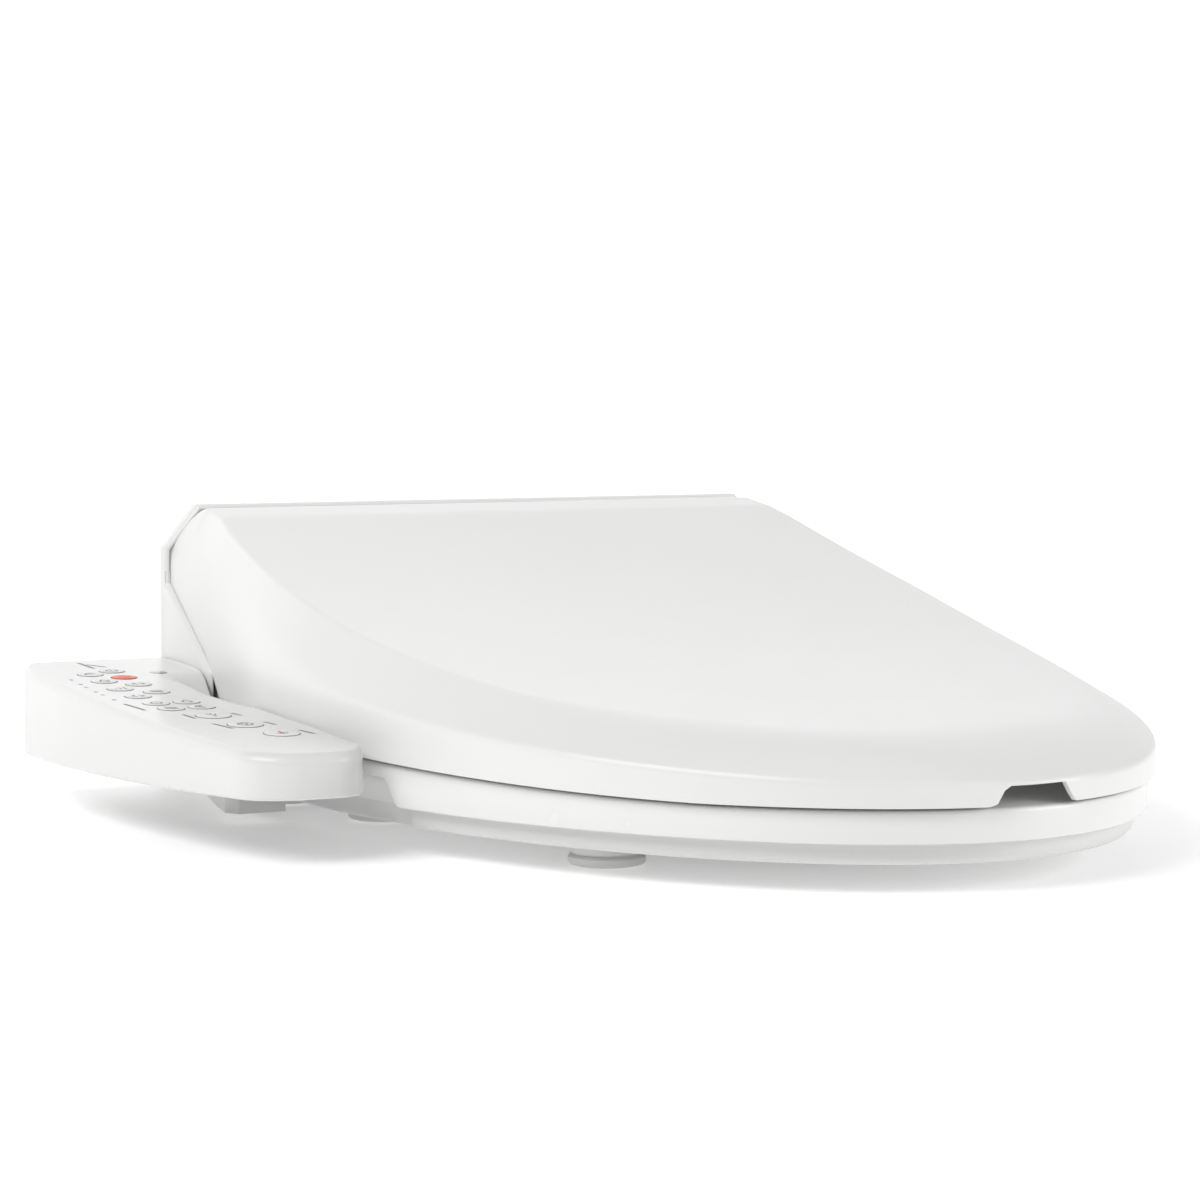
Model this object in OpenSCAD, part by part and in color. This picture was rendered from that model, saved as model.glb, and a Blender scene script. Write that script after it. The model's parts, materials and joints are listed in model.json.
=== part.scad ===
// Electric bidet seat with a side control arm.
// Frame: origin midway between the two fixing bolts on the bowl's rim plane,
// +Z up, -Y towards the front tip of the seat, the control arm on the -X side.
// The lid and the seat turn on one pin line at the top rear.

/* [Housing] */
// Width of the rear housing
housing_w = 364; // [360:1:368]
// Height of the rear housing above the bowl rim
housing_h = 147; // [145:1:149]
// Distance from the bolt line back to the rear face
rear_y = 52; // [52:1:56]

/* [Lid] */
// Widest width of the lid
lid_w = 400; // [396:1:402]
// Distance from the bolt line forward to the front tip
front_reach = 468; // [460:1:476]
// Wall thickness of the lid
lid_wall = 3; // [2.5:0.25:3]

/* [Seat] */
// How far the seat's skirt stands in from the lid's outline
skirt_inset = 3.3; // [2:0.1:4]
// Half the width of the seat's opening
hole_half = 106; // [100:1:110]

/* [Control arm] */
// Reach of the control arm forward of the bolt line
arm_reach = 255; // [250:1:258]
// Radius of a small button
key_r = 6.4; // [5.6:0.1:6.4]
// Radius of a large button
big_key_r = 8.3; // [7.3:0.5:8.3]

/* [Fixing] */
// Distance between the two fixing bolts
bolt_spacing = 140; // [138:1:160]

/* [Hidden] */
$fn = 64;

white = [0.94, 0.94, 0.93];
grey = [0.45, 0.46, 0.48];
half_w = housing_w / 2;
tip_y = -front_reach;
far = 600;
gap = 0.5;

// Hinge line shared by the seat and the lid
hinge_y = 32;
hinge_z = 132;
pin_r = 4;
pin_fit = 0.06;
knuckle_r = 7.5;
roll_r = 11.5;
pin_in = 112;
pin_out = 162;

// Lid outline: widest at wide_y, a rounded front, and a taper to the housing
lid_half = lid_w / 2;
lid_rear_half = half_w - 3;
wide_y = -144;
front_power = 1.84;
round_power = 0.51;
// Lid top: a slope that steepens behind flat_y, and a front bevel from crease_y down to rim_z
flat_y = -360;
flat_z = 68.6;
flat_slope = 0.065;
rear_curve = 3.6e-4;
crease_y = -434;
rim_z = 47;
lid_open = 100;
lid_low_z = 37;
corner_y = -26;
level_y = -400;

// Seat heights
band_z0 = 12;
skirt_z0 = 21.5;
band_inset = skirt_inset + 6.9;
recess_y = -244;
recess_z = 34;
seat_edge_z = lid_low_z - 1;
bumper_places = [[114, -310], [136, -125]];
seat_rear_y = -66;
hole_y = -236;
hole_front = 134;
slot_half = 102;

// Base
tray_z0 = 3;
tray_top = 24;
tray_wall = 3;
base_front_y = -58;
nose_half = 94;
nose_y = -110;
plate_w = 200;
plate_d = 68;
pocket_w = 196;
pocket_d = 57;
pocket_top = 20;
hood_half = 141;
band_y = 44;
cheek_t = 2;

// Control arm: outer side an arc, top sloping down to the front
arm_r = 870;
arm_cx = 600;
arm_cy = -87;
arm_rear_y = 51;
arm_wall = 2.8;
arm_top_rear = 68;
arm_fall = 0.06;
arm_tilt = atan(arm_fall);
arm_under_rear = 21.5;
arm_under_rise = 0.0252;
outer_y = [-2, -26, -52, -77, -100, -117];
inner_y = [6, -16, -40, -66, -100, -117];
big_y = [-143, -172, -200];
outer_off = [25.6, 26, 26, 26.4, 26.8, 27.3];
inner_off = [39.1, 39.4, 39.5, 39.9, 42.2, 42.6];
big_off = [36.7, 38.3, 41.3];
light_y = [-16, -32, -41, -57, -67, -83];

// Nozzles
nozzle_r = 6.5;
nozzle_x = 14;
nozzle_tilt = 30;
nozzle_front = [-100, 17];

// Screws, and the fan's centre height
screw_places = [[172, 44], [172, -49], [50, -102]];
fan_z = 64;

// ---- Curves ---------------------------------------------------------------

function smooth(t) = let (c = max(0, min(1, t))) c * c * (3 - 2 * c);

// Half-width of the lid's outline at y, drawn in by d
function lid_x(y, d = 0) =
  y < wide_y
    ? (lid_half - d) * pow(max(0, 1 - pow((wide_y - y)
        / (wide_y - tip_y - d), front_power)), round_power)
    : lid_half - d - (lid_half - lid_rear_half) * smooth((y - wide_y) / -wide_y);

// Height of the lid's top and of its lower edge at y
function top_z(y) = min(
  flat_z + flat_slope * (y - flat_y) + rear_curve * pow(max(0, y - flat_y), 2),
  hinge_z + (roll_r + cos(lid_open) * (hinge_y - y)) / sin(lid_open));
function low_z(y) = lid_low_z + (y < level_y ? 0
  : 14.5 * pow((min(y, corner_y) - level_y) / (corner_y - level_y), 1.25));

// Right half of an outline from the front tip to y1, as points
function lid_half_points(d, y1) = concat(
  [for (a = [90:-6:6]) let (y = wide_y - (wide_y - tip_y - d) * sin(a))
    [lid_x(y, d), y]],
  [for (i = [0:6]) let (y = wide_y * (1 - i / 6)) [lid_x(y, d), y]],
  [[lid_rear_half - d, y1]]);

function mirrored(p) = concat(p, [for (i = [len(p) - 1:-1:0]) [-p[i][0], p[i][1]]]);

// Half of the seat's outline, which follows the lid's
function seat_half_points(d) = concat(
  [for (a = [90:-6:6]) let (y = wide_y - (wide_y - tip_y - d) * sin(a))
    [lid_x(y, d), y]],
  [for (y = [wide_y:22:-78]) [lid_x(y, d), y]],
  [[lid_x(-78, d) - 12, seat_rear_y]]);

// Seat opening: half an ellipse in front, a slot to the rear, grown by g
function hole_points(g) = concat(
  [for (a = [0:10:180]) [(hole_half + g) * cos(a),
    hole_y - (hole_front + g) * sin(a)]],
  [[-(slot_half + g), hole_y + 70], [-(slot_half + g), 0],
   [slot_half + g, 0], [slot_half + g, hole_y + 70]]);

// Control arm edges
function arm_outer_x(y) = arm_cx - sqrt(arm_r * arm_r - pow(y - arm_cy, 2));
function arm_inner_x(y) = -max(half_w, lid_x(y) + 1.5, y < -185 ? 199.6 : 0);
function arm_top_z(y) = arm_top_rear + arm_fall * (y - arm_rear_y);
function arm_under_z(y) = arm_under_rear + arm_under_rise * (arm_rear_y - y);
function arc(c, r, a0, a1, n) =
  [for (i = [0:n]) let (a = a0 + (a1 - a0) * i / n) [c[0] + r * cos(a), c[1] + r * sin(a)]];
function arm_points(d) = concat(
  [[-half_w - d, arm_rear_y - d]],
  [for (y = [arm_rear_y - d:-35:-220]) [arm_outer_x(y) + d, y]],
  arc([-232.3, 26 - arm_reach], 26 - d, 180, 270, 6),
  arc([-219, 19 - arm_reach], 19 - d, 270, 360, 6),
  [for (y = [-215:15:-20]) [arm_inner_x(y) - d, y]]);

// ---- Helpers --------------------------------------------------------------

// Extrudes a (y, z) outline along X between x0 and x1
module along_x(points, x0 = -far, x1 = far) {
  translate([x0, 0, 0]) rotate([90, 0, 90]) linear_extrude(x1 - x0) polygon(points);
}

// Extrudes an (x, z) outline along Y between y0 and y1
module along_y(points, y0, y1) {
  translate([0, y1, 0]) rotate([90, 0, 0]) linear_extrude(y1 - y0) polygon(points);
}

// Cylinder along +X from x0 to x1 at (y, z)
module rod_x(r, x0, x1, y = hinge_y, z = hinge_z) {
  translate([x0, y, z]) rotate([0, 90, 0]) cylinder(r = r, h = x1 - x0);
}

module box(x0, x1, y0, y1, z0, z1) {
  translate([x0, y0, z0]) cube([x1 - x0, y1 - y0, z1 - z0]);
}

// Both sides of the object
module both() {
  children();
  mirror([1, 0, 0]) children();
}

// A frame on the arm's sloping top at (x, y), its z out of the surface
module on_arm(x, y) {
  translate([x, y, arm_top_z(y)]) rotate([arm_tilt, 0, 0]) children();
}

// A frame on a nozzle's axis, its z pointing forward and down out of the base
module on_nozzle(x) {
  translate([x, nozzle_front[0], nozzle_front[1]]) rotate([90 + nozzle_tilt, 0, 0]) children();
}

// ---- Lid --------------------------------------------------------------------

module lid_solid(d) {
  roll = roll_r - d;
  rear = d > 0 ? 70 : 43.3;
  edge = d > 0
    ? [[70, hinge_z], [70, 10], [tip_y, 10]]
    : concat([[43.3, 104.5], [-12, 64.5]],
        [for (y = [corner_y:-34:level_y]) [y, low_z(y)]], [[tip_y, lid_low_z]]);
  side = concat(
    [[tip_y, rim_z - d], [tip_y + 3, rim_z + 3 - d], [crease_y, top_z(crease_y) - d]],
    [for (y = [crease_y + 34:40:10]) [y, top_z(y) - d]],
    [for (a = [96:-12:0]) [hinge_y + roll * cos(a), hinge_z + roll * sin(a)]],
    edge);
  chamfer_x = half_w - 16.2 - d * 0.6;
  front = [[-far, 0], [-lid_half - 0.5 + d, 62], [-lid_rear_half - 1 + d, 122.5 - d * 0.5],
    [-chamfer_x, hinge_z + roll], [chamfer_x, hinge_z + roll],
    [lid_rear_half + 1 - d, 122.5 - d * 0.5], [lid_half + 0.5 - d, 62], [far, 0]];
  intersection() {
    translate([0, 0, 5]) linear_extrude(200) polygon(mirrored(lid_half_points(d, rear)));
    along_x(side);
    along_y(front, -far, far);
  }
}

module lid_lug() {
  along_x([[33, 142], [-10, 129], [-12, 121], [30, 124.6]], 157, 161.5);
  rod_x(knuckle_r, 157, 161.5);
}

module lid_shell() color(white) difference() {
  union() {
    difference() {
      lid_solid(0);
      lid_solid(lid_wall);
    }
    both() lid_lug();
    both() translate([70, -425, 42]) cylinder(r = 6, h = 22);
  }
  both() rod_x(pin_r + pin_fit, 150, 165);
  // Finger notch in the front rim
  along_y([[-21.5, 30], [-17.5, 44], [-13.5, 46.5], [13.5, 46.5], [17.5, 44], [21.5, 30]],
    tip_y - 5, tip_y + 12);
}

module lid_pads() color([0.85, 0.85, 0.84])
  both() translate([70, -425, 39.4]) cylinder(r = 5, h = 2.6);

// ---- Seat -------------------------------------------------------------------

// A ring of the seat between heights z0 and z1; above the level front part its
// top follows the lid's lower edge when follow is true
module seat_ring(d, g, z0, z1, follow = true) {
  slab = concat([[tip_y - 5, z0], [tip_y - 5, z1]],
    [for (y = [level_y:34:-60]) [y, z1 + (follow ? low_z(y) - lid_low_z : 0)]],
    [[0, z1 + (follow ? low_z(-60) - lid_low_z : 0)], [0, z0]]);
  intersection() {
    along_x(slab);
    difference() {
      linear_extrude(80) polygon(mirrored(seat_half_points(d)));
      translate([0, 0, -5]) linear_extrude(120) polygon(hole_points(g));
    }
  }
}

// Step in the skirt beside the control arm, outside the lower shell's outline
module arm_recess() difference() {
  along_x([[recess_y, 18], [recess_y + 3, 22.2], [recess_y + 6, 25], [recess_y + 8.5, 29],
    [recess_y + 11, recess_z], [0, recess_z], [0, 0], [recess_y, 0]]);
  linear_extrude(80) polygon(mirrored(seat_half_points(band_inset)));
}

module seat_top() color(white) difference() {
  union() {
    seat_ring(skirt_inset, 0, skirt_z0, seat_edge_z);
    seat_ring(skirt_inset + 9, 9, skirt_z0 + 8, seat_edge_z + 3);
  }
  arm_recess();
  seat_ring(band_inset + 2.6, 2.6, skirt_z0 - 10, seat_edge_z - 2.6);
  intersection() {
    seat_ring(skirt_inset + 2.6, 2.6, skirt_z0 - 10, seat_edge_z - 2.6);
    box(-far, far, tip_y, recess_y - 2.6, 0, far);
  }
}

module seat_heater() color("orange") difference() {
  seat_ring(skirt_inset + 18, 14, skirt_z0 + 5, seat_edge_z - 2.8);
  seat_ring(skirt_inset + 10, 8, 0, seat_edge_z - 4);
}

module seat_bottom() color(white) difference() {
  seat_ring(band_inset, 5, band_z0, skirt_z0, false);
  seat_ring(band_inset + 3, 8, band_z0 + 2.5, skirt_z0 + 5, false);
}

module seat_bumpers() color(white) both() for (p = bumper_places)
  translate([p[0], p[1], 0]) {
    cylinder(r = 17.4, h = 5.4);
    cylinder(r = 16.6, h = band_z0);
  }

module seat_brackets() color(grey) both() difference() {
  union() {
    along_x([[-108, 44.2], [-72, 46.2], [-48, 66], [32.5, 126.2], [27, 137.6], [-92, 66]],
      143, 155.5);
    rod_x(knuckle_r, 143, 155.5);
  }
  rod_x(pin_r + pin_fit, 140, 158);
}

// ---- Housing ----------------------------------------------------------------

// Left foot of the base under the control arm, and its low inner step
module arm_foot() {
  intersection() {
    linear_extrude(21) polygon([[-half_w, 30], [-207, -92], [-210, -104], [-206, -112],
      [-189, -112], [-189, base_front_y], [-half_w, base_front_y]]);
    along_x([[40, 21], [40, 14], [-41, 8.5], [-65, 6.5], [-84, 5], [-112, 5], [-112, 21]]);
  }
  box(-189, -half_w, -112, base_front_y + 6, 5, 10.4);
}

module base_volume(d, z0, z1) {
  box(-half_w + d, half_w - d, base_front_y + d, rear_y - d, z0, z1);
  box(-nose_half + d, nose_half - d, nose_y + d, 0, z0, z1);
}

module base_tray() color(white) difference() {
  union() {
    difference() {
      union() {
        base_volume(0, tray_z0, tray_top);
        arm_foot();
      }
      base_volume(tray_wall, tray_z0 + 3, far);
    }
    // Raised roof over the mounting plate and its bolt heads
    box(-pocket_w / 2 - 2.5, pocket_w / 2 + 2.5, -pocket_d / 2 - 2.5,
      pocket_d / 2 + 2.5, tray_z0, pocket_top + 2.5);
    both() for (p = screw_places) translate([p[0], p[1], tray_z0])
      cylinder(r = 5, h = tray_top - tray_z0 - 1);
  }
  box(-pocket_w / 2, pocket_w / 2, -pocket_d / 2, pocket_d / 2, 0, pocket_top);
  both() for (p = screw_places) translate([p[0], p[1], 0]) {
    cylinder(r = 2, h = 22);
    cylinder(r = 3.6, h = 5);
  }
  // Nozzle bay and warm-air outlet in the nose
  box(-30, 30, nose_y - 5, nose_y + 14, 0, far);
  box(64, 84, nose_y - 5, nose_y + 10, 10, far);
  // Drain, inlet, cable and release openings
  translate([-120, -44, 0]) cylinder(r = 5, h = 20);
  rod_x(7, 170, 190, 26, 14);
  rod_x(6, 170, 190, -2, 14);
  rod_x(7.4, 170, 190, -30, 14.5);
}

module housing_section(d) {
  cx = 18.5;
  cz = 22.4;
  polygon([[-half_w + d, tray_top - 1], [-half_w + d, housing_h - cz - d * 0.4],
    [-half_w + cx + d * 0.6, housing_h - d], [half_w - cx - d * 0.6, housing_h - d],
    [half_w - d, housing_h - cz - d * 0.4], [half_w - d, tray_top - 1]]);
}

module rear_cover() color(white) {
  difference() {
    translate([0, rear_y, 0]) rotate([90, 0, 0]) linear_extrude(rear_y - band_y)
      housing_section(0);
    box(-far, far, 0, far, 0, tray_top);
    // Hollow behind the rear plate, up to the board space
    box(-hood_half + 3, hood_half - 3, band_y - 1, rear_y - 3, tray_top + 2, 115);
  }
  // Cheeks that end in a slanted edge just outside the lid's rear edge
  both() along_x([[band_y, tray_top], [band_y, 106.5], [-12.7, 65.5], [-14, 64],
    [-14, tray_top]], half_w - cheek_t, half_w);
  // Flat roofs beside the hood, under the seat's brackets
  both() box(hood_half + gap, half_w - cheek_t, base_front_y, band_y, tray_top,
    tray_top + 2.5);
}

module hood() color(white) difference() {
  union() {
    along_x([[band_y, tray_top], [band_y, 118.5], [-18, 118.5], [base_front_y, 104],
      [base_front_y, tray_top]], -hood_half, hood_half);
    box(-nose_half, nose_half, nose_y, base_front_y, tray_top, 46);
    // Sloping roof over the nozzles
    along_x([[base_front_y, 40], [base_front_y, 59], [-84, 46], [-84, 40]], -32, 32);
    both() for (x = [58, 133]) {
      along_x([[2, 117], [14, 117.6], [28, 125.7], [28, 138.2], [2, 127]], x, x + 8);
      rod_x(knuckle_r, x, x + 8);
    }
  }
  along_x([[far, tray_top - 1], [far, 115.5], [-17, 115.5], [base_front_y + 3, 101.5],
    [base_front_y + 3, tray_top - 1]], -hood_half + 3, hood_half - 3);
  box(-nose_half + 3, nose_half - 3, nose_y + 3, base_front_y + 4, tray_top - 1, 43);
  along_x([[-54, 38], [-54, 57.7], [base_front_y, 55.7], [-84, 42.6], [-84, 38]], -29, 29);
  both() rod_x(pin_r, 120, 150);
  both() rod_x(3, 50, 80);
  // The nozzle bay and air outlet continue up into the nose
  box(-30, 30, nose_y - 5, nose_y + 14, 0, 32);
  box(64, 84, nose_y - 5, nose_y + 10, 0, 27);
}

module mounting_plate() color("silver") difference() {
  union() {
    box(-plate_w / 2, plate_w / 2, -plate_d / 2, plate_d / 2, 0, tray_z0);
    box(-pocket_w / 2 + 0.4, pocket_w / 2 - 0.4, -pocket_d / 2 + 0.4, pocket_d / 2 - 0.4,
      tray_z0, 8);
  }
  both() {
    translate([bolt_spacing / 2 - 7.75, 0, -1]) cylinder(r = 4.25, h = 20);
    translate([bolt_spacing / 2 + 7.75, 0, -1]) cylinder(r = 4.25, h = 20);
    translate([bolt_spacing / 2 - 7.75, -4.25, -1]) cube([15.5, 8.5, 20]);
  }
}

module base_pads() color(grey) both() for (y = [36, -44])
  translate([150, y, 0]) cylinder(r = 9, h = tray_z0);

module case_screws() color("silver") both() for (p = screw_places)
  translate([p[0], p[1], tray_z0 + 0.2]) {
    cylinder(r = 3.6, h = 1.8);
    cylinder(r = 2, h = 18);
  }

module drain_plug() color(grey) translate([-120, -44, 1.4]) {
  cylinder(r = 7, h = 1.6);
  cylinder(r = 5, h = 8);
}

module inlet_fitting() color("silver") difference() {
  union() {
    rod_x(10.48, half_w + 3, half_w + 17, 26, 14);
    rod_x(11.5, half_w, half_w + 3, 26, 14);
    rod_x(7, half_w - 6, half_w, 26, 14);
  }
  rod_x(6.2, half_w + 4, half_w + 30, 26, 14);
  rod_x(4, half_w - 10, half_w + 30, 26, 14);
}

module inlet_screen() color("white") difference() {
  rod_x(6.2, half_w + 4, half_w + 12, 26, 14);
  rod_x(5, half_w + 5, half_w + 30, 26, 14);
}

module inlet_valve() color("white") {
  box(148, half_w - 6, 14, 36, 7, 22);
}

module cable_gland() color(grey) difference() {
  union() {
    rod_x(6, half_w - 8, half_w, -2, 14);
    rod_x(8.5, half_w, half_w + 3, -2, 14);
    rod_x(6.5, half_w + 3, half_w + 9, -2, 14);
    rod_x(8, half_w - 11, half_w - tray_wall - 5, -2, 14);
  }
  rod_x(3.6, half_w - 30, half_w + 30, -2, 14);
}

module release_button() color(grey) {
  rod_x(7, half_w - 8, half_w + 3, -30, 14.5);
  rod_x(7.9, half_w - 10, half_w - tray_wall - gap, -30, 14.5);
}

// ---- Hinge hardware -----------------------------------------------------------

module hinge_pins() color("silver") both() rod_x(pin_r, pin_in, pin_out);

module soft_close_dampers() color(grey) both() {
  rod_x(7, 66, pin_in);
  rod_x(3, 58, 66);
}

// ---- Water path ---------------------------------------------------------------

module water_tank() color("ivory") {
  box(-130, -46, -28, 34, 26, 88);
  box(-134, -42, -30, 35, 56, 60);
  for (x = [-116, -64]) translate([x, -6, 88]) cylinder(r = 6, h = 8);
}

module water_pump() color("dimgray") {
  rod_x(12, -130, -92, -42, 42);
  rod_x(5, -92, -82, -42, 42);
  box(-126, -98, -54, -34, 24, 32);
}

module water_pipe() color("lightblue") rod_x(3, -46, -22, 24, 82);

module diverter_valve() color("dimgray") {
  box(-22, 22, 14, 33, 72, 94);
  for (x = [-11, 11]) translate([x, 24, 94]) cylinder(r = 5, h = 8);
}

module nozzle_cradle() color("gainsboro") difference() {
  union() {
    on_nozzle(0) translate([-23, -9, -62]) cube([46, 18, 54]);
    box(-20, 20, -86, -80, 6, 24);
    box(-20, 20, -54, -48, 6, 42);
  }
  for (x = [-nozzle_x, nozzle_x]) on_nozzle(x) translate([0, 0, -200])
    cylinder(r = nozzle_r + pin_fit, h = 400);
}

module nozzle_motors() color("dimgray") both() {
  rod_x(10, 26, 40, -20, 52);
  rod_x(2, 22.5, 26, -20, 52);
}

module nozzle_tube(x) color("gainsboro") on_nozzle(x) translate([0, 0, -118])
  difference() {
    cylinder(r = nozzle_r, h = 110);
    translate([0, 0, 4]) cylinder(r = 3, h = 120);
  }

module nozzle_tip(x, holes) color("white") on_nozzle(x) difference() {
  union() {
    translate([0, 0, -8]) cylinder(r = nozzle_r, h = 9);
    translate([0, 0, 1]) cylinder(r1 = nozzle_r, r2 = 4, h = 3);
  }
  for (i = [0:holes - 1]) translate([0, 3, -4.5 + 3 * i / holes]) rotate([-90, 0, 0])
    cylinder(r = 0.7, h = 6);
}

module wash_nozzle() nozzle_tube(-nozzle_x);
module wash_nozzle_tip() nozzle_tip(-nozzle_x, 1);
module bidet_nozzle() nozzle_tube(nozzle_x);
module bidet_nozzle_tip() nozzle_tip(nozzle_x, 2);

// ---- Warm air -----------------------------------------------------------------

module blower_case() color("dimgray") difference() {
  union() {
    rod_x(35.5, 58, 90, 0, fan_z);
    box(62, 86, -36, -24, 44, 62);
  }
  rod_x(32, 60.5, 87.5, 0, fan_z);
  box(64, 84, -40, -24, 46, 60);
  rod_x(14, 50, 64, 0, fan_z);
  rod_x(2, 80, 95, 0, fan_z);
}

module blower_wheel() color("silver") difference() {
  union() {
    rod_x(7, 64, 85, 0, fan_z);
    rod_x(29, 83, 85, 0, fan_z);
    for (a = [0:30:330]) translate([0, 0, fan_z]) rotate([a, 0, 0])
      box(66, 83, 18, 28, -0.8, 0.8);
    difference() {
      rod_x(29, 64, 66, 0, fan_z);
      rod_x(18, 60, 70, 0, fan_z);
    }
  }
  rod_x(2 + pin_fit, 60, 95, 0, fan_z);
}

module blower_motor() color("dimgray") {
  rod_x(14, 90, 116, 0, fan_z);
  rod_x(2, 66, 90, 0, fan_z);
}

module dryer_duct() color("gainsboro") difference() {
  union() {
    box(62, 86, nose_y + 6, -37, 8, 28);
    box(62, 86, -50, -36, 28, 62);
  }
  box(64, 84, nose_y, -39, 10, 26);
  box(64, 84, -48, -38, 20, 60);
  box(64, 84, -40, -30, 46, 60);
}

module dryer_grille() color("gainsboro") for (i = [0:3])
  translate([64, nose_y + 0.5, 11.5 + 4 * i]) cube([20, 4.5, 1.6]);

// ---- Electrics ----------------------------------------------------------------

module main_board() color("darkgreen") {
  box(-128, 128, 40, 41.6, 32, 110);
  for (x = [-34, -8, 18]) box(x, x + 18, 35.5, 40, 98, 109);
}

module power_supply() color("dimgray") {
  box(98, 134, -53, -20, 24, 62);
  box(100, 132, -50, -24, 62, 68);
}

module deodoriser() color("dimgray") {
  box(98, 134, -14, 32, 24, 46);
}

// ---- Control arm ---------------------------------------------------------------

// The arm's body; its top falls away along the inner side, beside the lid's rear corner
module arm_solid(d, top_d, z_under) difference() {
  intersection() {
    linear_extrude(100) polygon(arm_points(d));
    along_x([[arm_rear_y + 5, z_under + arm_under_z(arm_rear_y + 5)],
      [arm_rear_y + 5, arm_top_z(arm_rear_y + 5) - top_d],
      [-arm_reach - 5, arm_top_z(-arm_reach - 5) - top_d],
      [-arm_reach - 5, z_under + arm_under_z(-arm_reach - 5)]]);
  }
  translate([0, 0, -top_d]) on_arm(-211, -13) rotate([0, 0, 3.4])
    along_y([[0, 0], [40, -17.8], [40, 20], [0, 20]], -160, 0);
}

module each_small_key() {
  for (i = [0:5]) {
    on_arm(arm_outer_x(outer_y[i]) + outer_off[i], outer_y[i]) children();
    on_arm(arm_outer_x(inner_y[i]) + inner_off[i], inner_y[i]) children();
  }
}
module each_big_key() {
  for (i = [0:2]) on_arm(arm_outer_x(big_y[i]) + big_off[i], big_y[i]) children();
}
module each_light() {
  for (y = light_y) on_arm(arm_outer_x(y) + 12, y) children();
  on_arm(-236.6, 31) children();
}

module arm_cover() color(white) difference() {
  arm_solid(0, 0, 0);
  arm_solid(arm_wall, arm_wall, -20);
  each_small_key() translate([0, 0, -8]) cylinder(r = key_r + 0.4, h = 20);
  each_big_key() translate([0, 0, -8]) cylinder(r = big_key_r + 0.4, h = 20);
  each_light() translate([0, 0, -5]) cylinder(r = 0.8, h = 10);
  on_arm(-204.8, -4) translate([0, 0, -5]) half_disc(4.6, 10);
}

// Half a disc with its flat side to the front
module half_disc(r, h) intersection() {
  cylinder(r = r, h = h);
  translate([-r, -1, 0]) cube([2 * r, r + 1, h]);
}

module arm_tray() color(white) intersection() {
  linear_extrude(100) polygon(arm_points(arm_wall + 0.4));
  along_x([[arm_rear_y + 5, arm_under_z(arm_rear_y + 5)],
    [arm_rear_y + 5, arm_under_z(arm_rear_y + 5) + 3],
    [-arm_reach, arm_under_z(-arm_reach) + 3], [-arm_reach, arm_under_z(-arm_reach)]]);
}

module panel_board() color("darkgreen") intersection() {
  linear_extrude(100) polygon(arm_points(7));
  on_arm(0, 0) translate([-300, -240, -13.4]) cube([100, 275, 1.6]);
}

module key_switches() color("dimgray") {
  each_small_key() translate([-3, -3, -11.8]) cube([6, 6, 3.4]);
  each_big_key() translate([-3, -3, -11.8]) cube([6, 6, 3.4]);
}

module panel_lights() color("limegreen") each_light()
  translate([0, 0, -4]) cylinder(r = 0.8, h = 4);

module sensor_window() color([0.15, 0.15, 0.17]) on_arm(-204.8, -4)
  translate([0, 0, -2.8]) half_disc(4.6, 2.8);

module key(r) {
  translate([0, 0, -5.2]) cylinder(r = r, h = 5.7);
  translate([0, 0, -5.2]) cylinder(r = r + 0.7, h = 1.4);
  translate([0, 0, -7.2]) cylinder(r = 3, h = 2);
}
module outer_key(i, c = white) color(c)
  on_arm(arm_outer_x(outer_y[i]) + outer_off[i], outer_y[i]) key(key_r);
module inner_key(i, c = white) color(c)
  on_arm(arm_outer_x(inner_y[i]) + inner_off[i], inner_y[i]) key(key_r);
module big_key(i) color(white)
  on_arm(arm_outer_x(big_y[i]) + big_off[i], big_y[i]) key(big_key_r);

base_tray();
rear_cover();
hood();
mounting_plate();
base_pads();
case_screws();
drain_plug();
inlet_fitting();
inlet_screen();
inlet_valve();
cable_gland();
release_button();
hinge_pins();
soft_close_dampers();
water_tank();
water_pump();
water_pipe();
diverter_valve();
nozzle_cradle();
nozzle_motors();
wash_nozzle();
wash_nozzle_tip();
bidet_nozzle();
bidet_nozzle_tip();
blower_case();
blower_wheel();
blower_motor();
dryer_duct();
dryer_grille();
main_board();
power_supply();
deodoriser();
arm_cover();
arm_tray();
panel_board();
key_switches();
panel_lights();
sensor_window();
outer_key(0);  // seat_heat_button
outer_key(1);  // water_heat_button
outer_key(2);  // pressure_button
outer_key(3);  // nozzle_position_button
outer_key(4);  // child_mode_button
outer_key(5);  // energy_button
inner_key(0);  // power_button
inner_key(1, "tomato");  // stop_button
inner_key(2);  // oscillate_button
inner_key(3);  // pulse_button
inner_key(4);  // nozzle_clean_button
inner_key(5);  // night_light_button
big_key(0);  // rear_wash_button
big_key(1);  // front_wash_button
big_key(2);  // dryer_button
seat_top();
seat_bottom();
seat_heater();
seat_brackets();
seat_bumpers();
lid_shell();
lid_pads();
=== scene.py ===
"""Electric bidet seat: the visual model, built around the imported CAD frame."""
import json
import math

import bmesh
import bpy
from mathutils import Matrix, Vector


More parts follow.
